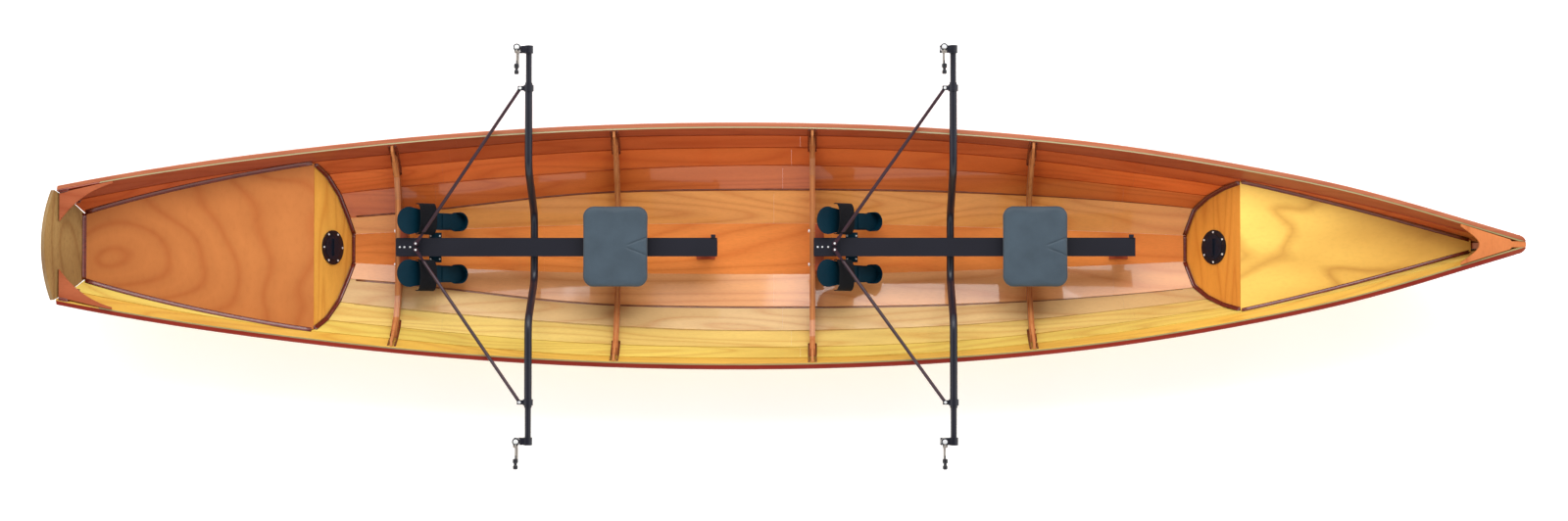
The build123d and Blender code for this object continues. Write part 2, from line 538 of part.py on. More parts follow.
stays, clamps, brackets, pins = [], [], [], []
exts, heads, blocks, feet, bolts, straps, stops = [], [], [], [], [], [], []
for rig, (x0, frame) in RIGS.items():
    wing_x = x0 + WING_S
    stern_face = FRAMES[frame][0] - FRAME_THICK / 2 - CHEEK_THICK
    bow_face = stern_face + FRAME_THICK + 2 * CHEEK_THICK
    save(f"{rig}_track", track(x0))
    save(f"{rig}_wing_tube", wing(x0))
    # plate over the stern end of the track, carrying the two stays
    head = block((x0 - 5, x0 + 98), (-38, 38), (TRACK_TOP + 0.2, TRACK_TOP + 7))
    head = fillet(head.edges().filter_by(Axis.Z), 8)
    heads.append(head)
    for s in (12, 31, 55):
        bolts.append(rod((x0 + s, 0, TRACK_TOP + 7.2), (x0 + s, 0, TRACK_TOP + 10.5), 4))
    for y in (-13, 13):
        bolts.append(rod((x0 + 82, y, TRACK_TOP + STAY_RISE + 6.2),
                         (x0 + 82, y, TRACK_TOP + STAY_RISE + 10), 4.5))
    # wooden chock against the frame and a foot under the bow end
    chock = block((bow_face + 0.6, x0 + 38), (-96, 96), (104, TRACK_TOP - TRACK_DEEP - 0.4))
    cuts = [rod((x0 - 60, y, 128), (x0 + 60, y, 128), 4.2) for y in (-70, 70)]
    blocks.append(chock - cuts[0] - cuts[1])
    for y in (-70, 70):
        bolts.append(rod((stern_face - 6, y, 128), (x0 + 46, y, 128), 3.9)
                     + rod((stern_face - 6, y, 128), (stern_face - 0.4, y, 128), 7)
                     + rod((x0 + 38.4, y, 128), (x0 + 44, y, 128), 7))
    foot_x0, foot_x1 = x0 + TRACK_LONG - 78, x0 + TRACK_LONG - 28
    foot_low = max(seam_at(0, foot_x0)[1], seam_at(0, foot_x1)[1]) + 0.6
    post = block((foot_x0, foot_x1), (-24, 24), (foot_low, TRACK_TOP - TRACK_DEEP - 0.3))
    post += block((foot_x0 - 14, foot_x1 + 14), (-44, 44), (foot_low, foot_low + 8))
    feet.append(post)
    # bed under the track that clamps the wing tube
    bed_low = WING_LOW - 26
    bed = block((wing_x - 30, wing_x + 30), (-30, 30), (bed_low, TRACK_TOP - TRACK_DEEP - 0.3))
    feet.append(bed - rod((wing_x, -60, WING_LOW), (wing_x, 60, WING_LOW), WING_R + 0.25))
    # knob at the track's bow end, and stop blocks under the flange that meet the carriage's hooks
    end = x0 + TRACK_LONG
    stops.append(block((end - 26, end - 7), (38.9, 52), (186, 206), 1.5))
    for s in (SEAT_S + SEAT_BACK - HOOK_HALF - 7, SEAT_S + SEAT_FORE + HOOK_HALF + 7):
        for side in (1, -1):
            stops.append(block((x0 + s - 6, x0 + s + 6), sorted((side * 29.8, side * 38)),
                               (172, TRACK_TOP - 7.4)))
    for side in (1, -1):
        exts.append(rod((wing_x, side * EXT_IN, WING_Z), (wing_x, side * EXT_END, WING_Z), EXT_R, 10))
        # stay and its clamp
        lug_x = wing_x - STAY_LUG
        a = Vector(x0 + 82, side * 13, TRACK_TOP + STAY_RISE)
        b = Vector(lug_x, side * STAY_Y, WING_Z)
        run = (b - a).normalized()
        bar = rod(a, b, STAY_R)
        pad = Plane(origin=(a.X, a.Y, TRACK_TOP + 7.3), z_dir=(0, 0, 1)) * extrude(
            Circle(10), STAY_RISE - 1.3)
        eye = Plane(origin=b, z_dir=(0, 0, 1)) * Cylinder(9, 8)
        tongue = sorted((side * (STAY_Y - 14), side * (STAY_Y + 60)))
        for low in (WING_Z + 4, WING_Z - 44):
            bar -= block((lug_x - 60, lug_x + 60), tongue, (low, low + 40))
        bar += eye
        bar += pad
        bar -= block((x0, x0 + 200), (-60, 60), (TRACK_TOP + STAY_RISE + 6, TRACK_TOP + 100))
        bar -= block((x0, x0 + 200), sorted((0.3 * side, -60 * side)), (0, TRACK_TOP + 100))
        bar -= Plane(origin=b, z_dir=(0, 0, 1)) * Cylinder(3.4, 30)
        stays.append(bar)
        collar = rod((wing_x, side * (STAY_Y - 13), WING_Z), (wing_x, side * (STAY_Y + 13), WING_Z),
                     WING_R + 5, WING_R + 0.3)
        for dz in (4.3, -10.3):
            lug = block((lug_x - 10, wing_x - WING_R - 1.5), (side * STAY_Y - 9, side * STAY_Y + 9),
                        (WING_Z + dz, WING_Z + dz + 6))
            collar += lug
        collar -= Plane(origin=b, z_dir=(0, 0, 1)) * Cylinder(3.4, 60)
        clamps.append(collar)
        stay_y = side * STAY_Y
        bolts.append(rod((lug_x, stay_y, WING_Z - 13), (lug_x, stay_y, WING_Z + 13), 3.2)
                     + rod((lug_x, stay_y, WING_Z + 10.6), (lug_x, stay_y, WING_Z + 15), 6))
        # bracket on the tube's end, pin and oarlock
        px, py = wing_x - PIN_BACK, side * PIN_Y
        ring = rod((wing_x, py - 16, WING_Z), (wing_x, py + 16, WING_Z), EXT_R + 5.5, EXT_R + 0.3)
        arm = block((px - 15, wing_x - EXT_R - 1), (py - 15, py + 15), (WING_Z - 13, WING_Z + 13), 2)
        bracket = ring + arm
        bracket -= rod((px, py, WING_Z - 40), (px, py, WING_Z + 40), PIN_R + 0.3)
        brackets.append(bracket)
        pin = rod((px, py, WING_Z - 22), (px, py, LOCK_GATE + 8), PIN_R)
        pin += rod((px, py, WING_Z - 22), (px, py, WING_Z - 13.3), 11)
        pin += rod((px, py, WING_Z + 13.3), (px, py, LOCK_Z - 0.6), 12)
        pin += rod((px, py, LOCK_GATE - 8.4), (px, py, LOCK_GATE - 4), 10)
        pin += rod((px, py, LOCK_GATE - 4), (px, py, LOCK_GATE + 4), 6.9)
        pins.append(pin)
        tag = f"{rig}_{'port' if side > 0 else 'starboard'}"
        save(f"{tag}_oarlock", oarlock(px, py))
        rod_part, knob_part = gate(px, py)
        save(f"{tag}_gate", rod_part, knob_part)
    # foot rest: two plates on a cross bar under the track, heel cups and straps
    plates = []
    for side in (1, -1):
        plane, length = footplate(x0, side)
        plates.append(plane * extrude(foot_shape(length), FOOT_THICK))
        cup_base = Circle(HEEL_R) + Pos(34, 0) * Rectangle(68, 2 * HEEL_R - 22)
        cup = Pos(0, 0, FOOT_THICK + 0.3) * extrude(cup_base, 4)
        rim = extrude(Circle(HEEL_R) - Circle(HEEL_R - 4.5), 34)
        rim -= Pos(32, 0, 0) * Box(64, 120, 120)
        cup += Pos(0, 0, FOOT_THICK + 0.3) * rim
        tag = f"{rig}_{'port' if side > 0 else 'starboard'}"
        save(f"{tag}_heel_cup", plane * cup)
        near, far = side * (TOE_R - 3), -side * (TOE_R + 13)
        arch = Spline((near, -2), (near, 16), (side * 24, 33), (-side * 26, 35), (0.97 * far, 20),
                      (far, -2))
        band = Plane(origin=(0, 0, 0), x_dir=(0, 1, 0), z_dir=(1, 0, 0)) * trace(arch, 3)
        belt = extrude(band, 80)
        strap = plane * (Pos(116, 0, FOOT_THICK) * belt)
        straps.append(strap)
    bar_top = TRACK_TOP - TRACK_DEEP - 0.4
    bar = block((x0 + 128, x0 + 178), (-62, 62), (bar_top - 8.6, bar_top))
    plates.append(bar)
    save(f"{rig}_footboards", *plates)
    for s in (134, 172):
        for y in (-48, 48):
            z = TRACK_TOP - TRACK_DEEP
            bolts.append(rod((x0 + s, y, z), (x0 + s, y, z + 4), 3.5))
    # seat: board with rounded corners, carriage and two axles of wheels
    sx = x0 + SEAT_S
    half_l, half_w = SEAT_LONG / 2, SEAT_WIDE / 2
    pad = block((sx - half_l, sx + half_l), (-half_w, half_w), (SEAT_TOP - 24, SEAT_TOP))
    pad = fillet(pad.edges().filter_by(Axis.Z), 45)
    pad = fillet(pad.faces().sort_by(Axis.Z)[-1].edges(), 10)
    save(f"{rig}_seat", pad)
    top = SEAT_TOP - 24.4
    axle_z = TRACK_TOP + WHEEL_R + 0.1
    plate = block((sx - 112, sx + 112), (-56, 56), (top - 4, top))
    for side in (1, -1):
        cheek = block((sx - HOOK_HALF, sx + HOOK_HALF), sorted((side * 42, side * 46)), (188, top))
        hook = block((sx - HOOK_HALF, sx + HOOK_HALF), sorted((side * 31.5, side * 46)), (184, 188))
        plate += cheek + hook
    for e in (-1, 1):
        ax = sx + e * WHEEL_BASE
        plate -= rod((ax, -60, axle_z), (ax, 60, axle_z), 4.05)
        axle = rod((ax, -47.5, axle_z), (ax, 47.5, axle_z), 4)
        for side in (1, -1):
            axle += rod((ax, side * (WHEEL_Y - 6), axle_z), (ax, side * (WHEEL_Y + 6), axle_z), WHEEL_R)
        save(f"{rig}_{'stern' if e < 0 else 'bow'}_wheels", axle)
    save(f"{rig}_seat_carriage", plate)
save("rigger_stays", *stays)
save("stay_clamps", *clamps)
save("oarlock_brackets", *brackets)
save("oarlock_pins", *pins)
save("wing_extensions", *exts)
save("track_fittings", *heads, *stops)
save("track_supports", *blocks, *feet)
save("rig_bolts", *bolts)
save("foot_straps", *straps)
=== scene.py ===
"""Looks of the tandem rowing wherry: varnished planks, glue fillets, foam seats and black rigs."""
import math

import bmesh
import bpy
import numpy as np
from mathutils import Matrix, Vector


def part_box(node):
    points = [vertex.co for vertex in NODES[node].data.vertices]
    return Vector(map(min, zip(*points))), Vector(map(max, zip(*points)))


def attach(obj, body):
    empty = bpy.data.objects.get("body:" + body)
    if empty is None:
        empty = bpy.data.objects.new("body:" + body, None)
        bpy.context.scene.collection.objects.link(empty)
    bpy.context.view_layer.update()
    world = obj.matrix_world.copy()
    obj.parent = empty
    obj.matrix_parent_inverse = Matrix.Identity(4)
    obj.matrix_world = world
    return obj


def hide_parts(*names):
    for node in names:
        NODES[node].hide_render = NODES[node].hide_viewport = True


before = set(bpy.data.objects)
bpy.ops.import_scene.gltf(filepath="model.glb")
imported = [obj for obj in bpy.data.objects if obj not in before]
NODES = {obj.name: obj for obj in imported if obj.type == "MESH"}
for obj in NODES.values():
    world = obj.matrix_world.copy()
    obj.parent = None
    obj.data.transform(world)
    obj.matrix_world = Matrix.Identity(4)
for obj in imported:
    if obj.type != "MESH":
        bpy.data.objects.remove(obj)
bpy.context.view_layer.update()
RIGS = ("aft", "forward")
SIDES = ((1, "port"), (-1, "starboard"))


# ---------------------------------------------------------------- materials
class Shader:
    """A Principled material with helpers for procedural nodes."""

    def __init__(self, name, rough=0.5, metal=0.0, coat=0.0, coat_rough=0.03, sheen=0.0, shine=0.5):
        self.mat = bpy.data.materials.new(name)
        self.mat.use_nodes = True
        self.tree = self.mat.node_tree
        self.bsdf = self.tree.nodes["Principled BSDF"]
        for socket, value in (("Roughness", rough), ("Metallic", metal), ("Coat Weight", coat),
                              ("Coat Roughness", coat_rough), ("Sheen Weight", sheen),
                              ("Specular IOR Level", shine)):
            self.bsdf.inputs[socket].default_value = value
        self.coords = self.tree.nodes.new("ShaderNodeTexCoord").outputs["Object"]

    def node(self, kind, **values):
        n = self.tree.nodes.new(kind)
        for key, value in values.items():
            if hasattr(n, key):
                setattr(n, key, value)
            else:
                n.inputs[key.replace("_", " ")].default_value = value
        return n

    def link(self, out, socket):
        self.tree.links.new(out, socket)

    def mapped(self, scale, offset=(0, 0, 0), turn=(0, 0, 0)):
        m = self.node("ShaderNodeMapping")
        m.inputs["Scale"].default_value = scale
        m.inputs["Location"].default_value = offset
        m.inputs["Rotation"].default_value = turn
        self.link(self.coords, m.inputs["Vector"])
        return m.outputs["Vector"]

    def noise(self, vector, scale, detail=2.0, rough=0.5, warp=0.0):
        n = self.node("ShaderNodeTexNoise", Scale=scale, Detail=detail, Roughness=rough,
                      Distortion=warp)
        self.link(vector, n.inputs["Vector"])
        return n.outputs["Fac"]

    def math(self, op, a, b=None):
        n = self.node("ShaderNodeMath", operation=op)
        for socket, value in zip(n.inputs, (a, b)):
            if isinstance(value, (int, float)):
                socket.default_value = value
            elif value is not None:
                self.link(value, socket)
        return n.outputs[0]

    def ramp(self, fac, stops):
        n = self.node("ShaderNodeValToRGB")
        ends = n.color_ramp.elements
        while len(ends) < len(stops):
            ends.new(0.5)
        for e, (at, colour) in zip(ends, stops):
            e.position = at
            e.color = (*colour, 1)
        self.link(fac, n.inputs["Fac"])
        return n.outputs["Color"]

    def mix(self, fac, a, b, mode="MIX"):
        n = self.node("ShaderNodeMix", data_type="RGBA", blend_type=mode)
        for socket, value in ((n.inputs[0], fac), (n.inputs[6], a), (n.inputs[7], b)):
            if isinstance(value, tuple):
                socket.default_value = (*value, 1)
            elif isinstance(value, (int, float)):
                socket.default_value = value
            else:
                self.link(value, socket)
        return n.outputs[2]

    def bump(self, height, strength, distance=0.001):
        n = self.node("ShaderNodeBump", Strength=strength, Distance=distance)
        self.link(height, n.inputs["Height"])
        self.link(n.outputs["Normal"], self.bsdf.inputs["Normal"])

    def colour(self, out):
        self.link(out, self.bsdf.inputs["Base Color"])


def shade(colour, k):
    return tuple(min(1.0, c * k) for c in colour)


def soften(colour, amount):
    """A multiplier drawn towards 1."""
    return tuple(1 + (c - 1) * amount for c in colour)


FACES_UP = 0.93         # least upward part of the normal on a plank's top edge


def wood(name, base, starboard=None, along="X", grain=1.0, figure=4.0, stretch=9.0, contrast=0.12,
         mottle=0.5, seed=0.0, rough=0.35, coat=0.22, edge=None, eye=None, bands=5.0, flecks=0.6,
         gloss=0.08):
    """Varnished wood: contour-line figure stretched along the grain, pores and slow tone drift.

    base colours the port side, and starboard the other side if it is given; the difference between
    the two is painted light and painted shade, as light from port would fall. edge colours faces that
    look up. eye is the centre of a cathedral figure, and bands how many of its rings fall in a metre.
    """
    s = Shader(name, rough=rough, coat=coat, coat_rough=gloss, shine=0.25)
    axes = {"X": (1, stretch, stretch), "Y": (stretch, 1, stretch),
            "Z": (stretch, stretch, 1)}[along]
    vec = s.mapped(tuple(a * grain for a in axes), (seed, seed * 0.7, seed * 1.3))
    field = s.noise(vec, 0.55, 1.5, 0.45, 0.35)
    if eye:
        away = s.node("ShaderNodeVectorMath", operation="LENGTH")
        s.link(s.mapped((stretch, 1, 1), (-eye[0] * stretch, -eye[1], -eye[2])), away.inputs[0])
        wobble = s.noise(s.mapped((1.3, 2.2, 2.2), (seed, 0, 0)), 1.2, 1.2, 0.4, 0.2)
        field = s.math("ADD", away.outputs["Value"], s.math("MULTIPLY", wobble, 0.42))
        rings = s.math("PINGPONG", s.math("MULTIPLY", field, bands * 2), 1.0)
    else:
        rings = s.math("PINGPONG", s.math("MULTIPLY", field, figure * 6), 1.0)
    drift = s.noise(s.mapped((0.9, 2.2, 2.2), (seed * 2, 0, 0)), 1.1, 2.0)
    pores = s.noise(s.mapped(tuple(a * 14 for a in axes), (seed, 0, 0)), 3.0, 3.0, 0.6)
    tone = base
    # the starboard colour against base is painted light and shade: one side lighter, the other
    # darker, as light from port would fall
    if starboard:
        xyz = s.node("ShaderNodeSeparateXYZ")
        s.link(s.coords, xyz.inputs[0])
        side = s.node("ShaderNodeMapRange")
        side.inputs["From Min"].default_value = -0.06
        side.inputs["From Max"].default_value = 0.06
        s.link(xyz.outputs["Y"], side.inputs["Value"])
        tone = s.mix(side.outputs[0], starboard, base)
    line = s.ramp(rings, [(0.0, shade((1, 0.86, 0.78), 1 - contrast)), (0.35, (0.97, 0.95, 0.93)),
                          (1.0, (1.04, 1.04, 1.04))])
    cloud = s.ramp(drift, [(0.3, soften((0.78, 0.7, 0.62), mottle)),
                           (0.7, soften((1.2, 1.24, 1.2), mottle))])
    fleck = s.ramp(pores, [(0.32, soften((0.74, 0.68, 0.62), mottle * flecks)), (0.5, (1, 1, 1)),
                           (0.72, soften((1.1, 1.12, 1.08), mottle * flecks))])
    out = tone
    for layer in (line, cloud, fleck):
        out = s.mix(1.0, out, layer, "MULTIPLY")
    if edge:
        normal = s.node("ShaderNodeSeparateXYZ")
        s.link(s.node("ShaderNodeNewGeometry").outputs["Normal"], normal.inputs[0])
        up = s.math("GREATER_THAN", normal.outputs["Z"], FACES_UP)
        out = s.mix(up, out, edge)
    s.colour(out)
    s.bump(pores, 0.12, 0.0004)
    return s.mat


def plain(name, colour, rough, metal=0.0, speck=0.12, scale=140.0, coat=0.0, bump=0.15, shine=0.35):
    """Metal or moulded plastic with faint mottling."""
    s = Shader(name, rough=rough, metal=metal, coat=coat, shine=shine)
    fine = s.noise(s.mapped((1, 1, 1)), scale, 3.0, 0.6)
    slow = s.noise(s.mapped((1, 1, 1), (3, 1, 2)), 6.0, 2.0)
    out = s.mix(fine, shade(colour, 1 - speck), shade(colour, 1 + speck))
    drift = s.ramp(slow, [(0.3, (0.85, 0.85, 0.88)), (0.7, (1.15, 1.15, 1.12))])
    out = s.mix(1.0, out, drift, "MULTIPLY")
    s.colour(out)
    s.bump(fine, bump, 0.0003)
    return s.mat


LOCK_CHEEK = 0.031      # width of an oarlock's black part, in from its port side
GATE_ROD = 0.056        # width of a gate's black part, before its steel end


def two_tone(name, node):
    """Black plastic and grey steel: steel at a gate's port end and in a lock's starboard part."""
    low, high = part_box(node)
    s = Shader(name, rough=0.3, coat=0.2)
    xyz = s.node("ShaderNodeSeparateXYZ")
    s.link(s.coords, xyz.inputs[0])
    if node.endswith("gate"):
        bar = s.math("GREATER_THAN", xyz.outputs["Y"], low.y + GATE_ROD)
    else:
        bar = s.math("LESS_THAN", xyz.outputs["Y"], high.y - LOCK_CHEEK)
    fine = s.noise(s.mapped((1, 1, 1)), 160.0, 3.0)
    speck = s.ramp(fine, [(0.3, (0.85, 0.85, 0.85)), (0.7, (1.15, 1.15, 1.15))])
    s.colour(s.mix(1.0, s.mix(bar, (0.006, 0.006, 0.010), (0.28, 0.25, 0.22)), speck, "MULTIPLY"))
    s.bump(fine, 0.15, 0.0003)
    return s.mat


def webbing(name, colour):
    """Woven strap: two crossed sets of fine ribs."""
    s = Shader(name, rough=0.85, sheen=0.05, shine=0.15)
    waves = []
    for turn in (0.0, math.pi / 2):
        w = s.node("ShaderNodeTexWave", Scale=420.0, Distortion=0.4)
        s.link(s.mapped((1, 1, 1), turn=(0, 0, turn)), w.inputs["Vector"])
        waves.append(w.outputs["Fac"])
    weave = s.math("MULTIPLY", waves[0], waves[1])
    s.colour(s.mix(weave, shade(colour, 0.6), shade(colour, 1.6)))
    s.bump(weave, 0.5, 0.0008)
    return s.mat


PLY_EDGE = (0.33, 0.27, 0.12)
# The strakes' and rails' port and starboard colours hold painted light and shade: the port strakes
# are painted darker upward and the starboard strakes lighter upward, as light from port would fall,
# and the starboard rail is painted dark as in shade.
looks = {
    "bottom_plank": wood("varnish_bottom", (0.80, 0.255, 0.055), grain=1.1, stretch=7, seed=2),
    "garboards": wood("varnish_garboard", (0.84, 0.36, 0.10), (0.72, 0.33, 0.125), seed=5,
                      stretch=8, coat=0.55, gloss=0.05),
    "second_strakes": wood("varnish_second", (0.60, 0.14, 0.028), (0.66, 0.44, 0.20), seed=8,
                           coat=0.5, gloss=0.05),
    "third_strakes": wood("varnish_third", (0.66, 0.135, 0.028), (0.70, 0.50, 0.15), seed=11),
    "fourth_strakes": wood("varnish_fourth", (0.45, 0.085, 0.023), (0.70, 0.52, 0.115), seed=14),
    "sheer_strakes": wood("varnish_sheer", (0.30, 0.06, 0.026), (0.70, 0.42, 0.07), seed=17,
                          edge=PLY_EDGE),
    "rub_rails": wood("rail_wood", (0.42, 0.125, 0.055), (0.24, 0.02, 0.009), stretch=16, seed=21,
                      rough=0.4),
    "quarter_knees": wood("knee_wood", (0.42, 0.11, 0.045), stretch=5, seed=4),
    "breasthook": wood("hook_wood", (0.60, 0.19, 0.06), along="Y", stretch=4, seed=6, contrast=0.2),
    "transom": wood("transom_wood", (0.28, 0.165, 0.06), along="Y", grain=1.4, stretch=3,
                    contrast=0.2, mottle=0.9, seed=9),
    "aft_deck": wood("aft_deck_wood", (0.52, 0.178, 0.048), grain=1.0, stretch=0.6, contrast=0.12,
                     mottle=0.6, seed=12.4, eye=(-2.78, -0.05, 0.28), bands=9, flecks=0.25),
    "forward_deck": wood("forward_deck_wood", (0.86, 0.53, 0.12), grain=3.2, figure=1.15,
                         stretch=2.1, contrast=0.26, mottle=1.3, seed=7.7, flecks=0.12),
    "aft_bulkhead": wood("aft_bulkhead_wood", (0.76, 0.38, 0.068), along="Y", stretch=12, seed=3),
    "forward_bulkhead": wood("forward_bulkhead_wood", (0.72, 0.28, 0.04), along="Y", stretch=12,
                             seed=13),
    "frame_cheeks": wood("cheek_wood", (0.44, 0.15, 0.05), along="Y", stretch=8, seed=15),
    "stem": wood("stem_wood", (0.5, 0.16, 0.05), along="Z", stretch=8, seed=16),
    "skeg": wood("skeg_wood", (0.5, 0.16, 0.05), stretch=8, seed=18),
}
for name in ("frame_one", "frame_two", "frame_three", "frame_four"):
    looks[name] = wood(name + "_wood", (0.52, 0.2, 0.07), along="Y", stretch=8, seed=len(name))
looks["track_supports"] = wood("chock_wood", (0.36, 0.07, 0.028), along="Y", stretch=6, seed=19)
BLACK = plain("black_anodised", (0.010, 0.010, 0.018), 0.36, coat=0.1)
TRACK = plain("track_anodised", (0.006, 0.006, 0.013), 0.45)
PURPLE = plain("stay_anodised", (0.035, 0.012, 0.02), 0.36, coat=0.1)
PLASTIC = plain("black_plastic", (0.005, 0.006, 0.010), 0.3, coat=0.3)
FOOT = plain("foot_plastic", (0.0, 0.020, 0.036), 0.5, speck=0.2, scale=60, shine=0.12)
STEEL = plain("stainless", (0.86, 0.87, 0.88), 0.3, metal=0.35, speck=0.05)
STRAP = webbing("strap_webbing", (0.004, 0.005, 0.008))
looks["rigger_stays"] = PURPLE
for name in ("track_fittings", "stay_clamps", "wing_extensions", "oarlock_brackets"):
    looks[name] = BLACK
looks["hatch_rings"] = PLASTIC


def ridged(name, centre):
    """Moulded port cover with shallow rings about its middle."""
    s = Shader(name, rough=0.3, coat=0.1, shine=0.3)
    away = s.node("ShaderNodeVectorMath", operation="LENGTH")
    s.link(s.mapped((1, 1, 1), tuple(-c for c in centre)), away.inputs[0])
    ring = s.math("SINE", s.math("MULTIPLY", away.outputs["Value"], 620.0))
    near = s.math("LESS_THAN", away.outputs["Value"], 0.044)
    dust = s.noise(s.mapped((1, 1, 1)), 90.0, 3.0)
    s.colour(s.mix(dust, (0.004, 0.006, 0.011), (0.009, 0.014, 0.026)))
    s.bump(s.math("MULTIPLY", ring, near), 0.2, 0.0003)
    return s.mat


for name in ("aft_hatch_cover", "forward_hatch_cover"):
    low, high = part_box(name)
    looks[name] = ridged(name + "_plastic", tuple((low + high) / 2))
for name in ("hatch_screws", "rig_bolts", "oarlock_pins"):
    looks[name] = STEEL
looks["foot_straps"] = STRAP
for rig in RIGS:
    looks[f"{rig}_track"] = TRACK
    looks[f"{rig}_wing_tube"] = BLACK
    looks[f"{rig}_footboards"] = FOOT
    looks[f"{rig}_seat_carriage"] = BLACK
    for end in ("stern", "bow"):
        looks[f"{rig}_{end}_wheels"] = PLASTIC
    for _, side in SIDES:
        looks[f"{rig}_{side}_heel_cup"] = FOOT
        lock = f"{rig}_{side}"
        looks[f"{lock}_oarlock"] = two_tone(f"{lock}_lock", f"{lock}_oarlock")
        looks[f"{lock}_gate"] = two_tone(f"{lock}_rod", f"{lock}_gate")
for name, obj in NODES.items():
    if name in looks:
        obj.data.materials.clear()
        obj.data.materials.append(looks[name])


# ---------------------------------------------------------------- hull lines, read from the frame
def arrays(name):
    mesh = NODES[name].data
    co = np.empty(len(mesh.vertices) * 3)
    mesh.vertices.foreach_get("co", co)
    ends = np.empty(len(mesh.edges) * 2, int)
    mesh.edges.foreach_get("vertices", ends)
    return co.reshape(-1, 3), ends.reshape(-1, 2)


CACHE = {}


def section(name, x):
    """Points where a node's mesh crosses a plane across the boat, past a joint if it is in one."""
    if name not in CACHE:
        CACHE[name] = arrays(name)
    co, ends = CACHE[name]
    a, b = co[ends[:, 0]], co[ends[:, 1]]
    hit = (a[:, 0] - x) * (b[:, 0] - x) < 0
    if not hit.any() and co[:, 0].min() < x < co[:, 0].max() - 0.002:
        return section(name, x + 0.001)
    a, b = a[hit], b[hit]
    t = ((x - a[:, 0]) / (b[:, 0] - a[:, 0]))[:, None]
    return a + (b - a) * t


STRAKES = ("garboards", "second_strakes", "third_strakes", "fourth_strakes", "sheer_strakes")


def ring(x, side):
    """Inside corners of the planking at a station: bottom edge, then each strake's top."""
    pts = []
    floor = section("bottom_plank", x)
    if len(floor):
        top = floor[floor[:, 2] > floor[:, 2].max() - 0.002]
        pts.append(Vector((x, side * np.abs(top[:, 1]).max(), top[:, 2].max())))
    for name in STRAKES:
        cut = section(name, x)
        cut = cut[cut[:, 1] * side > 0]
        if len(cut):
            best = cut[cut[:, 2].argmax()]
            pts.append(Vector((x, best[1], best[2])))
    return pts


def wall(x, z, side):
    """Point on the inside of the planking at a station and height, and the way up along it."""
    pts = ring(x, side)
    for a, b in zip(pts, pts[1:]):
        if a.z <= z <= b.z:
            return a.lerp(b, (z - a.z) / (b.z - a.z)), (b - a).normalized()
    return (pts[-1] if z > pts[-1].z else pts[0]), Vector((0, side * 0.5, 0.87))


def new_mesh(name, verts, faces, mat):
    """A smooth-shaded piece on the hull."""
    mesh = bpy.data.meshes.new(name)
    mesh.from_pydata([tuple(v) for v in verts], [], faces)
    mesh.update()
    mesh.polygons.foreach_set("use_smooth", [True] * len(mesh.polygons))
    obj = bpy.data.objects.new(name, mesh)
    bpy.context.scene.collection.objects.link(obj)
    obj.data.materials.append(mat)
    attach(obj, "hull")
    return obj


# how far the glue fillets reach along each face, in metres
DECK_FILLET, BULKHEAD_FILLET, FOOT_FILLET, FRAME_FILLET = 0.011, 0.014, 0.012, 0.007
# the seam beads are dark glue and also painted shade of each lap's ledge
SEAMS = (0.0032, 0.0016, 0.0016, 0.0016)     # glue along the top of each strake but the sheer


def fillet_strip(name, path, mat, size=DECK_FILLET):
    """Concave glue fillet along a path of (point, way along one face, way along the other)."""
    verts, faces = [], []
    steps = 5
    for p, u, v in path:
        for i in range(steps + 1):
            t = i / steps
            verts.append(p + u * size * (1 - t) ** 2 + v * size * t ** 2)
        verts.append(p - (u + v) * 0.0015)
    n = steps + 2
    for i in range(len(path) - 1):
        for j in range(n):
            a, b = i * n + j, i * n + (j + 1) % n
            faces.append((a, b, b + n, a + n))
    faces.append(tuple(range(n)))
    faces.append(tuple(reversed(range(len(verts) - n, len(verts)))))
    obj = new_mesh(name, verts, faces, mat)
    bm = bmesh.new()
    bm.from_mesh(obj.data)
    bmesh.ops.recalc_face_normals(bm, faces=bm.faces)
    bm.to_mesh(obj.data)
    bm.free()
    return obj


glue = Shader("dark_fillet", rough=0.25, coat=0.4, coat_rough=0.12)
glue.colour(glue.ramp(glue.noise(glue.mapped((3, 12, 12)), 9, 3), [(0.3, (0.10, 0.010, 0.005)),
                                                                     (0.7, (0.17, 0.022, 0.010))]))
GLUE = glue.mat


def deck_fillets(node, label):
    lo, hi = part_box(node)
    for side, tag in SIDES:
        path = []
        for i in range(25):
            x = lo.x + 0.004 + (hi.x - lo.x - 0.012) * i / 24
            edge, up = wall(x, hi.z, side)
            path.append((edge, Vector((0, -side, 0)), up))
        fillet_strip(f"{label}_fillet_{tag}", path, GLUE)


deck_fillets("aft_deck", "aft_deck")
deck_fillets("forward_deck", "forward_deck")


def bulkhead_fillets(node, away, label):
    """Fillets where a bulkhead meets the planking and the bottom plank, on its cockpit side."""
    co, _ = arrays(node)
    lo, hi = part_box(node)
    top = (co[np.abs(co[:, 2] - hi.z) < 0.001][:, 0] * away).max()
    foot = (co[np.abs(co[:, 2] - lo.z) < 0.012][:, 0] * away).max()
    corner = ring(away * foot, 1)[0]
    for side, tag in SIDES:
        path = []
        for i in range(25):
            z = corner.z + 0.001 + (hi.z - corner.z - 0.002) * i / 24
            t = (z - lo.z) / (hi.z - lo.z)
            edge, up = wall(away * (foot + (top - foot) * t), z, side)
            inward = Vector((0, -side * up.z, abs(up.y)))
            path.append((edge, inward, Vector((away, 0, 0))))
        fillet_strip(f"{label}_fillet_{tag}", path, GLUE, BULKHEAD_FILLET)
    path = [(Vector((away * foot, corner.y * (i / 4 - 1), corner.z)), Vector((0, 0, 1)),
             Vector((away, 0, 0))) for i in range(9)]
    fillet_strip(f"{label}_fillet_foot", path, GLUE, FOOT_FILLET)


bulkhead_fillets("aft_bulkhead", 1, "aft_bulkhead")
bulkhead_fillets("forward_bulkhead", -1, "forward_bulkhead")


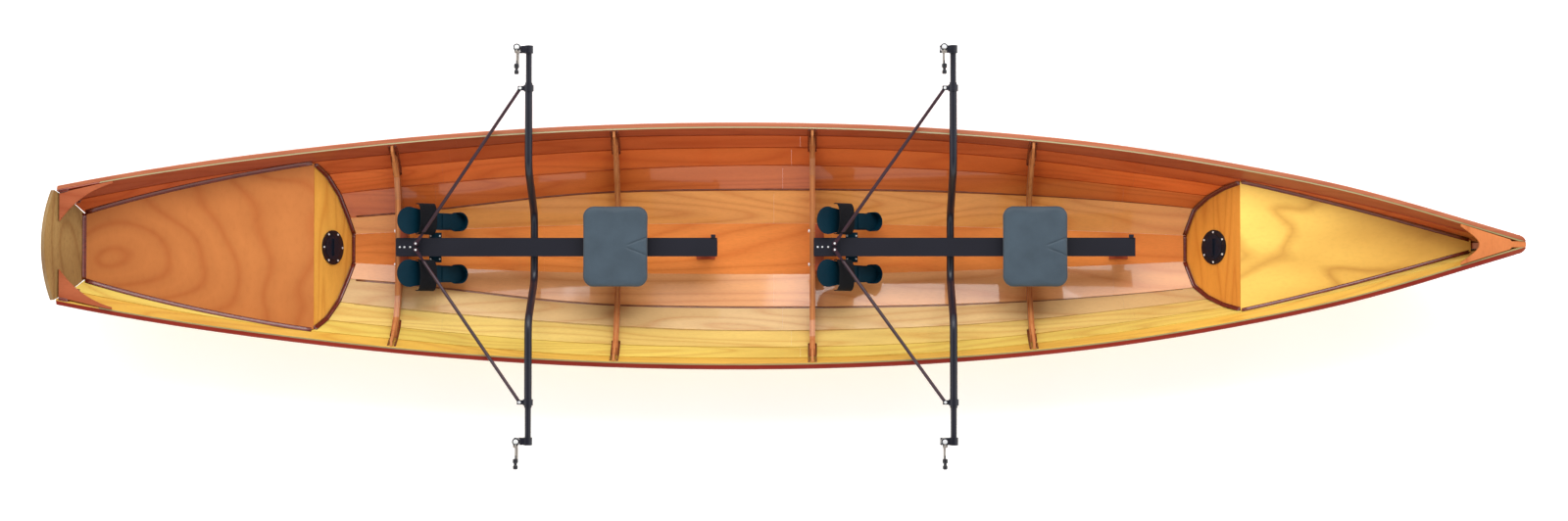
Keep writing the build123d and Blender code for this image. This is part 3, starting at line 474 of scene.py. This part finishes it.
def frame_fillets(node):
    """Short fillets up both faces of a frame where it meets the planking."""
    lo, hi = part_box(node)
    for side, tag in SIDES:
        for away, x in ((-1, lo.x - 0.0065), (1, hi.x + 0.0065)):
            path = []
            for i in range(15):
                z = 0.165 + (hi.z - 0.17) * i / 14
                edge, _ = wall(x, min(z, hi.z - 0.002), side)
                inward = Vector((0, -side, 0.1)).normalized()
                path.append((edge, inward, Vector((away, 0, 0))))
                if z > hi.z - 0.002:
                    break
            face = "bow" if away > 0 else "stern"
            fillet_strip(f"{node}_fillet_{tag}_{face}", path, GLUE, FRAME_FILLET)


for name in ("frame_one", "frame_two", "frame_three", "frame_four"):
    frame_fillets(name)

co, _ = arrays("transom")
inner_low = co[co[:, 0].argmax()]
top_rows = co[co[:, 2] > 0.42]
inner_top = top_rows[top_rows[:, 0].argmax()]


def transom_inside(z):
    t = (z - inner_low[2]) / (inner_top[2] - inner_low[2])
    return float(inner_low[0] + (inner_top[0] - inner_low[0]) * t)


aft_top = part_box("aft_deck")[1].z
for side, tag in SIDES:
    path = []
    for i in range(11):
        z = aft_top + 0.006 + (0.405 - aft_top) * i / 10
        edge, _ = wall(transom_inside(z) + 0.001, z, side)
        path.append((edge, Vector((0.25, -side, 0)).normalized(), Vector((1, 0, 0))))
    fillet_strip(f"transom_fillet_{tag}", path, GLUE)
half = abs(wall(transom_inside(aft_top) + 0.004, aft_top, 1)[0].y) - 0.004
path = [(Vector((transom_inside(aft_top) + 0.0005, half * (i / 8 - 1), aft_top)), Vector((1, 0, 0)),
         Vector((-0.465, 0, 0.885))) for i in range(17)]
fillet_strip("transom_fillet_deck", path, GLUE)

# Seam beads: dark glue colour that also stands in for the painted shade along each lap.
seam_shader = Shader("seam_glue_and_shade", rough=0.4, coat=0.4)
seam_shader.colour(seam_shader.ramp(seam_shader.noise(seam_shader.mapped((4, 20, 20)), 8, 3),
                                    [(0.3, (0.13, 0.026, 0.010)), (0.7, (0.26, 0.075, 0.028))]))
start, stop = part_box("aft_bulkhead")[1].x + 0.02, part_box("forward_bulkhead")[0].x - 0.02
for level, (name, size) in enumerate(zip(STRAKES[:-1], SEAMS)):
    for side, tag in SIDES:
        path = []
        for i in range(71):
            x = start + (stop - start) * i / 70
            pts = ring(x, side)
            low, top = pts[-len(STRAKES) + level], pts[-len(STRAKES) + level + 1]
            lean = (top - low).normalized()
            path.append((low + Vector((0, side * 0.0058, 0.0004)), Vector((0, -side, 0)), lean))
        fillet_strip(f"seam_{name}_{tag}", path, seam_shader.mat, size)


# ---------------------------------------------------------------- seats
foam = Shader("seat_foam", rough=0.6, sheen=0.1, shine=0.35)
grain = foam.noise(foam.mapped((1, 1, 1)), 420.0, 4.0, 0.65)
wear = foam.noise(foam.mapped((1, 1, 1), (4, 2, 0)), 11.0, 3.0)
foam.colour(foam.mix(1.0, foam.mix(grain, (0.032, 0.052, 0.072), (0.056, 0.082, 0.106)),
                     foam.ramp(wear, [(0.3, (0.86, 0.87, 0.88)), (0.7, (1.12, 1.12, 1.12))]),
                     "MULTIPLY"))
foam.bump(grain, 0.4, 0.0006)


PAD_SHRINK = (1.03, 1.018, 0.92)             # of the CAD board, before it swells
VOXEL, PRESSURE, FRAMES = 0.005, 4.0, 20
SWELL = 0.005                                # most that the cloth may move a point
CREASE_DEEP, CREASE_WIDE = 0.0042, 0.0034


def seat_pad(rig):
    """Foam seat: the CAD board swollen a little under pressure, then creased on top."""
    low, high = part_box(f"{rig}_seat")
    mid = (low + high) / 2
    mesh = NODES[f"{rig}_seat"].data.copy()
    mesh.materials.clear()
    obj = bpy.data.objects.new(f"{rig}_seat_pad", mesh)
    bpy.context.scene.collection.objects.link(obj)
    shrink = Matrix.Diagonal((*PAD_SHRINK, 1))
    mesh.transform(Matrix.Translation(mid) @ shrink @ Matrix.Translation(-mid))
    bpy.context.view_layer.objects.active = obj
    remesh = obj.modifiers.new("remesh", "REMESH")
    remesh.mode, remesh.voxel_size = "VOXEL", VOXEL
    apply_all(obj)
    start = [v.co.copy() for v in obj.data.vertices]
    cloth = obj.modifiers.new("cloth", "CLOTH")
    cloth.settings.use_pressure = True
    cloth.settings.uniform_pressure_force = PRESSURE
    cloth.settings.effector_weights.gravity = 0.0
    cloth.settings.quality = 6
    cloth.point_cache.frame_start, cloth.point_cache.frame_end = 1, FRAMES
    for step in range(1, FRAMES + 1):
        bpy.context.scene.frame_set(step)
        bpy.context.view_layer.update()
    apply_all(obj)
    bpy.context.scene.frame_set(1)
    for v, was in zip(obj.data.vertices, start):
        shift = v.co - was
        if shift.length > SWELL:
            v.co = was + shift.normalized() * SWELL
    smooth = obj.modifiers.new("smooth", "SUBSURF")
    smooth.levels = smooth.render_levels = 1
    apply_all(obj)
    for v in obj.data.vertices:
        u, w = v.co.x - mid.x, v.co.y - mid.y
        up = max(0.0, min(1.0, (v.co.z - mid.z) / 0.008))
        dip = 0.0
        for side in (1, -1):
            t = (0.122 - u) / 0.07
            line = side * (0.034 - 0.027 * t)
            if -0.1 < t < 1.15:
                fade = min(1.0, max(0.0, (1.15 - t) / 0.3))
                dip += CREASE_DEEP * fade * math.exp(-((w - line) / CREASE_WIDE) ** 2)
        v.co.z -= dip * up
        v.co.z = max(v.co.z, low.z + 0.0006)
        v.co.z = min(v.co.z, high.z + 0.006)
    obj.data.materials.append(foam.mat)
    obj.data.polygons.foreach_set("use_smooth", [True] * len(obj.data.polygons))
    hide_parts(f"{rig}_seat")
    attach(obj, f"{rig}_sliding_seat")


def apply_all(obj):
    """Replaces the object's mesh with what its modifiers make of it."""
    deps = bpy.context.evaluated_depsgraph_get()
    made = bpy.data.meshes.new_from_object(obj.evaluated_get(deps))
    obj.modifiers.clear()
    obj.data = made


for rig in RIGS:
    seat_pad(rig)

# ---------------------------------------------------------------- floor, light and camera
floor_mesh = bpy.data.meshes.new("floor")
floor_mesh.from_pydata([(-30, -30, -0.002), (30, -30, -0.002), (30, 30, -0.002), (-30, 30, -0.002)],
                       [], [(0, 1, 2, 3)])
floor = bpy.data.objects.new("floor", floor_mesh)
bpy.context.scene.collection.objects.link(floor)
pale = Shader("pale_floor", rough=0.9)
pale.bsdf.inputs["Emission Color"].default_value = (1, 1, 1, 1)
pale.bsdf.inputs["Emission Strength"].default_value = 0.3
pale.colour(pale.ramp(pale.noise(pale.mapped((1, 1, 1)), 2.0), [(0.3, (0.93, 0.93, 0.93)),
                                                                (0.7, (0.96, 0.96, 0.96))]))
floor.data.materials.append(pale.mat)

scene = bpy.context.scene
scene.view_settings.view_transform = "Standard"
world = bpy.data.worlds.new("studio")
scene.world = world
world.use_nodes = True
sky = world.node_tree.nodes
coords = sky.new("ShaderNodeTexCoord")
parts = sky.new("ShaderNodeSeparateXYZ")
dome = sky.new("ShaderNodeMapRange")       # bright walls all round, a dim ceiling overhead
for socket, value in (("From Min", 0.62), ("From Max", 0.93), ("To Min", 1.4), ("To Max", 0.22)):
    dome.inputs[socket].default_value = value
wires = world.node_tree.links
wires.new(coords.outputs["Generated"], parts.inputs[0])
wires.new(parts.outputs["Z"], dome.inputs["Value"])
sky["Background"].inputs[0].default_value = (1, 1, 1, 1)
wires.new(dome.outputs[0], sky["Background"].inputs[1])


def softbox(name, place, aim, size, power):
    data = bpy.data.lights.new(name, "AREA")
    data.shape = "RECTANGLE"
    data.size, data.size_y = size
    data.energy = power
    lamp = bpy.data.objects.new(name, data)
    scene.collection.objects.link(lamp)
    lamp.location = place
    lamp.rotation_euler = (Vector(aim) - Vector(place)).to_track_quat("-Z", "Y").to_euler()


softbox("key", (0, 6.5, 6.5), (0, 0, 0.2), (10, 3.5), 420)
for x, long, watts in ((-2.3, 2.2, 70), (1.1, 2.6, 90), (4.3, 1.4, 60)):
    label = f"window_{long:.1f}".replace(".", "_")
    softbox(label, (x, 5.4, 9.0), (x, 0, 0.2), (long, 1.5), watts)

eye, aim = Vector((0.108, -0.494, 13.0)), Vector((0.005, -0.049, 0.0))
back = (eye - aim).normalized()
right = Vector((0, 1, 0)).cross(back).normalized()
up = back.cross(right)
lens = bpy.data.cameras.new("camera")
lens.sensor_width, lens.lens, lens.clip_end = 36, 71.1, 100
camera = bpy.data.objects.new("camera", lens)
scene.collection.objects.link(camera)
camera.matrix_world = Matrix.Translation(eye) @ Matrix((right, up, back)).transposed().to_4x4()
scene.camera = camera
